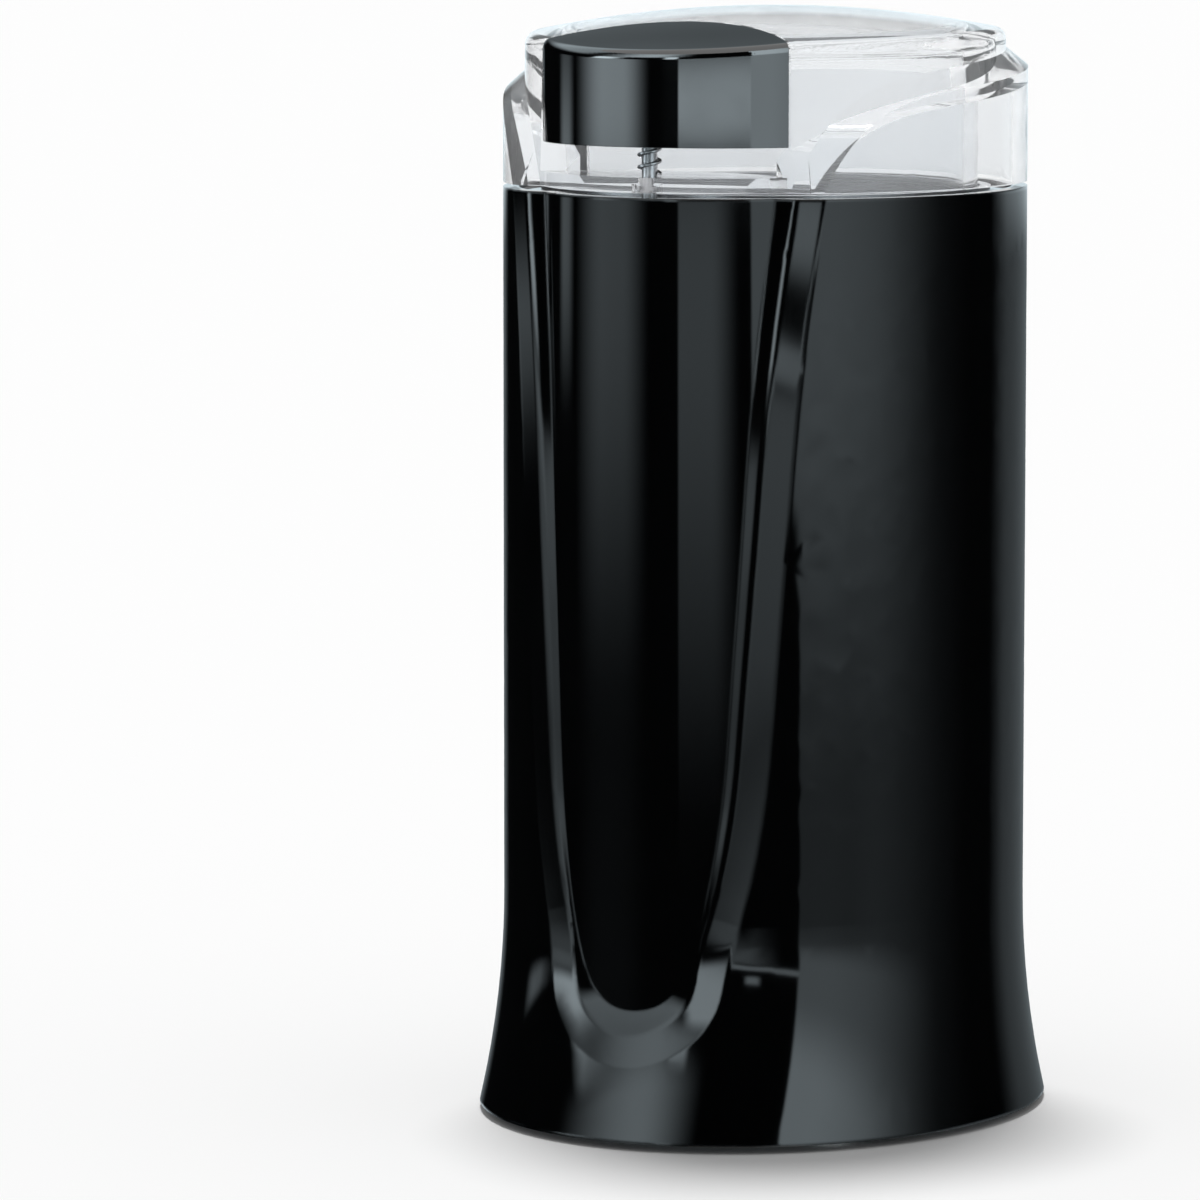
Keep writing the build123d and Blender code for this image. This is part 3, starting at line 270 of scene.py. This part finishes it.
# Bowl and its screws: deep-drawn stainless steel, spun-polished on a lathe, so the marks run in rings
# round the axis.
LATHE_MARKS_PER_METRE, LATHE_MARK_DEPTH = 3800.0, 0.00001
bowl_steel = Shader("spun_stainless", Metallic=1.0)
across = bowl_steel.node("ShaderNodeVectorMath", {"operation": "LENGTH"},
                         {0: bowl_steel.place(stretch=(1.0, 1.0, 0.0))}, output="Value")
up = bowl_steel.node("ShaderNodeSeparateXYZ", sockets={"Vector": bowl_steel.place()}, output="Z")
lathe = bowl_steel.node("ShaderNodeCombineXYZ", sockets={"X": across, "Z": up})
rings = bowl_steel.noise(lathe, LATHE_MARKS_PER_METRE, detail=4.0)
wipe = bowl_steel.noise(bowl_steel.place(), per_metre=70.0, detail=3.0)
bowl_steel.feed(bowl_steel.surface, {
    "Base Color": bowl_steel.blend(wipe, (0.56, 0.56, 0.57), (0.66, 0.66, 0.67)),
    "Roughness": 0.16 + 0.22 * rings,
})
bowl_steel.relief(rings, LATHE_MARK_DEPTH)
bowl_steel.dress("bowl", "bowl_screws")


# Grinding blade: stamped from stainless strip with its tips pitched up and down, and ground along its
# length. The nut holds it down on the hub.
blade_steel = metal("ground_stainless", dark=(0.55, 0.55, 0.56), light=(0.68, 0.68, 0.69),
                    smoothest=0.14, roughest=0.36, stretch=(0.05, 1.0, 1.0))
blade_steel.dress("grinding_blade")


# Lid: one clear styrene moulding, polished inside and out, faintly blue in its thickness. Light passes
# straight through most of it, and its walls show by their edges. A low index keeps its thick band clear.
LID_INDEX, LID_CLEARNESS = 1.18, 0.93
clear = Shader("clear_styrene", IOR=LID_INDEX, Transmission_Weight=LID_CLEARNESS)
smear = clear.noise(clear.place(), per_metre=60.0, detail=3.0)
clear.feed(clear.surface, {
    "Base Color": clear.blend(smear, (0.966, 0.983, 1.0), (0.982, 0.992, 1.0)),
    "Roughness": 0.01 * smear,
})
clear.dress("lid_shell")
nodes["lid_shell"].visible_shadow = False
nodes["lid_shell"].visible_diffuse = False


# Lid button: a lens-shaped black cap under a hard lacquer, which reflects more than the bare plastic of the
# housing does. It stands on the steel stem and its spring, in the lid's pocket.
gloss("lacquered_black", index=2.05, easing=0.0001).dress("lid_button")


# Floor: a wide white disc just under the feet. It keeps the object's shadow, and the gloss doesn't mirror it.
# It is part of the studio, as the ring round the object is.
def stage_piece(name, form, shader):
    mesh = bpy.data.meshes.new(name)
    form.to_mesh(mesh)
    form.free()
    made = bpy.data.objects.new(name, mesh)
    bpy.context.scene.collection.objects.link(made)
    mesh.materials.append(shader.material)
    return made


FLOOR_R, FLOOR_Z = 12.0, -0.0002
floor_form = bmesh.new()
bmesh.ops.create_circle(floor_form, cap_ends=True, segments=96, radius=FLOOR_R)
bmesh.ops.translate(floor_form, vec=(0.0, 0.0, FLOOR_Z), verts=floor_form.verts)
floor_white = Shader("floor_white", Roughness=0.9, Specular_IOR_Level=0.0, Base_Color=(0.96, 0.96, 0.96))
floor = stage_piece("floor", floor_form, floor_white)
floor.visible_glossy = False


# Panels and cards: a tall ring round the object, pale in some places and nearly black in the rest, like the
# soft boxes and dark cards of a studio. Only the gloss sees it, and seen through the lid it is plain white.
RING_R, RING_LOW, RING_TOP = 6.0, -14.0, 7.0
EYE_Z = 0.1
ring_form = bmesh.new()
bmesh.ops.create_circle(ring_form, segments=128, radius=RING_R)
bmesh.ops.translate(ring_form, vec=(0.0, 0.0, RING_LOW), verts=ring_form.verts)
wall = bmesh.ops.extrude_edge_only(ring_form, edges=ring_form.edges[:])["geom"]
wall_top = [v for v in wall if isinstance(v, bmesh.types.BMVert)]
bmesh.ops.translate(ring_form, vec=(0.0, 0.0, RING_TOP - RING_LOW), verts=wall_top)
panels = Shader("panels_and_cards", Base_Color=(0.0, 0.0, 0.0), Roughness=1.0, Specular_IOR_Level=0.0,
                Emission_Strength=1.0)


def angle(aside, ahead):
    """How far a point lies aside of straight ahead, in degrees."""
    return panels.node("ShaderNodeMath", {"operation": "ARCTAN2"}, {0: aside, 1: ahead}) * (180.0 / math.pi)


def rise(value, start, end):
    """0 before start, 1 after end, and smooth between them."""
    return panels.node("ShaderNodeMapRange", {"interpolation_type": "SMOOTHSTEP"},
                       {"Value": value, "From Min": start, "From Max": end}, output="Result")


def between(value, dark, full, full_end, dark_end):
    """1 between full and full_end, fading to 0 at dark and dark_end."""
    return rise(value, dark, full) * (1.0 - rise(value, full_end, dark_end))


# Bearing is 0 in front and 90 on the right, and tilt is 0 level with the object's middle, both in degrees.
ring_x, ring_y, ring_z = [
    panels.node("ShaderNodeSeparateXYZ", sockets={"Vector": panels.place()}, output=axis) for axis in "XYZ"]
bearing = angle(ring_x, 0.0 - ring_y)
tilt = angle(ring_z - EYE_Z, RING_R)

left_tall = (between(bearing, -78.0, -50.0, -36.0, -15.0)
             * (0.04 + 0.9 * rise(tilt, -7.6, -3.0) + 0.5 * rise(tilt, -2.6, -1.9))
             * (1.0 - rise(tilt, -1.3, 0.0)))
front_low = (between(bearing, 3.0, 4.5, 24.0, 44.0) * 0.95
             * rise(tilt, -8.8, -3.2) * (1.0 - rise(tilt, -2.8, -2.2)))
front_narrow = between(bearing, 3.0, 4.5, 50.0, 51.5) * between(tilt, -2.25, -2.1, -1.45, -1.25) * 1.9
front_spot = between(bearing, 26.0, 29.0, 32.0, 35.0) * between(tilt, -0.4, 0.4, 1.2, 1.7) * 2.0
front_strip = between(bearing, -8.0, -3.0, 1.0, 4.5) * between(tilt, -0.8, 1.0, 14.0, 20.0) * 4.0
front_high = between(bearing, -64.0, -18.0, -17.0, 14.0) * rise(tilt, 13.0, 22.0) * 2.5
right_tall = (between(bearing, 50.0, 51.5, 62.0, 118.0)
              * (0.30 + 1.0 * rise(tilt, -8.6, -3.2) + 1.4 * rise(tilt, 1.0, 13.0)))
right_glow = between(bearing, 70.0, 88.0, 96.0, 136.0) * 0.12
LEAN = 0.62
left_leaning = (between(bearing - LEAN * tilt, -66.0, -59.0, -53.0, -38.0)
                * between(tilt, -1.2, 2.5, 8.0, 20.0) * 4.6)
left_side = between(bearing, -98.0, -90.0, -86.0, -78.0) * between(tilt, -4.8, -3.0, -2.4, -0.6) * 0.7
left_high = between(bearing, -150.0, -125.0, -80.0, -60.0) * rise(tilt, 16.0, 32.0) * 1.2
back = between(bearing, 148.0, 165.0, 180.0, 181.0) + between(bearing, -181.0, -180.0, -140.0, -126.0)
back_tall = back * (0.18 + 0.75 * between(tilt, -3.4, -2.0, 10.0, 15.0) + 0.3 * rise(tilt, 22.0, 45.0))
below = (1.0 - rise(tilt, -13.5, -10.5)) * (
    between(bearing, -172.0, -152.0, -138.0, -112.0) * 0.9 + between(bearing, -62.0, -36.0, -22.0, 0.0) * 0.8
    + between(bearing, 38.0, 60.0, 76.0, 102.0) * 0.9 + between(bearing, 118.0, 138.0, 150.0, 168.0) * 0.6)
CARD_GLOW = 0.004
light = (left_tall + front_low + front_narrow + front_spot + right_tall + right_glow + front_high
         + left_leaning + left_side + front_strip + left_high + back_tall + below + CARD_GLOW)

RED_SHARE, BLUE_SHARE = 0.86, 1.07
cool = panels.node("ShaderNodeCombineXYZ", sockets={
    "X": light * RED_SHARE, "Y": light, "Z": light * BLUE_SHARE})
seen_in_clear = panels.node("ShaderNodeLightPath", output="Transmission Depth") > 0.5
panels.feed(panels.surface, {"Emission Color": panels.blend(seen_in_clear, cool, (1.0, 1.0, 1.0))})
ring = stage_piece("panels_and_cards", ring_form, panels)
for kind in ("camera", "diffuse", "transmission", "volume_scatter", "shadow"):
    setattr(ring, "visible_" + kind, False)


# Sun: one lamp high up, a little behind the object and to its left, as wide as a soft box, so that the shadow
# is soft and close. With the world's light it comes to about 1 on a level surface.
SUN_STRENGTH, SUN_WIDTH = 2.0, math.radians(14.0)
SUN_SHINES = Vector((0.116, -0.162, -1.0))
lamp_data = bpy.data.lights.new("overhead", "SUN")
lamp_data.energy = SUN_STRENGTH
lamp_data.angle = SUN_WIDTH
lamp = bpy.data.objects.new("overhead", lamp_data)
lamp.rotation_mode = "QUATERNION"
lamp.rotation_quaternion = SUN_SHINES.to_track_quat("-Z", "Y")
lamp.visible_glossy = False
bpy.context.scene.collection.objects.link(lamp)


# World: plain white behind everything and in metal and glass. It lights dull surfaces less than it shows, so
# that the sun's shadow stays on the floor.
WORLD_SHOWN, WORLD_ON_DULL = 1.0, 0.4
world = bpy.data.worlds.new("studio")
bpy.context.scene.world = world
world.use_nodes = True
background = world.node_tree.nodes["Background"]
background.inputs["Color"].default_value = (1.0, 1.0, 1.0, 1.0)
paths = world.node_tree.nodes.new("ShaderNodeLightPath")
level = world.node_tree.nodes.new("ShaderNodeMapRange")
level.inputs["To Min"].default_value = WORLD_SHOWN
level.inputs["To Max"].default_value = WORLD_ON_DULL
world.node_tree.links.new(paths.outputs["Is Diffuse Ray"], level.inputs["Value"])
world.node_tree.links.new(level.outputs["Result"], background.inputs["Strength"])


# Camera: a long lens, a little above the lid and to the right of the front, looking slightly down. Nothing is
# shifted, and everything is sharp.
LENS_MM, SENSOR_MM = 216.9, 36.0
CAMERA_AT = (0.5583, -1.0282, 0.2122)
CAMERA_LOOKS = Vector((-0.4941, 0.8623, -0.1106))
camera_data = bpy.data.cameras.new("camera")
camera_data.lens = LENS_MM
camera_data.sensor_width = SENSOR_MM
camera_data.clip_start, camera_data.clip_end = 0.05, 50.0
camera = bpy.data.objects.new("camera", camera_data)
camera.location = CAMERA_AT
camera.rotation_mode = "QUATERNION"
camera.rotation_quaternion = CAMERA_LOOKS.to_track_quat("-Z", "Y")
bpy.context.scene.collection.objects.link(camera)
bpy.context.scene.camera = camera
bpy.context.scene.view_settings.view_transform = "Standard"
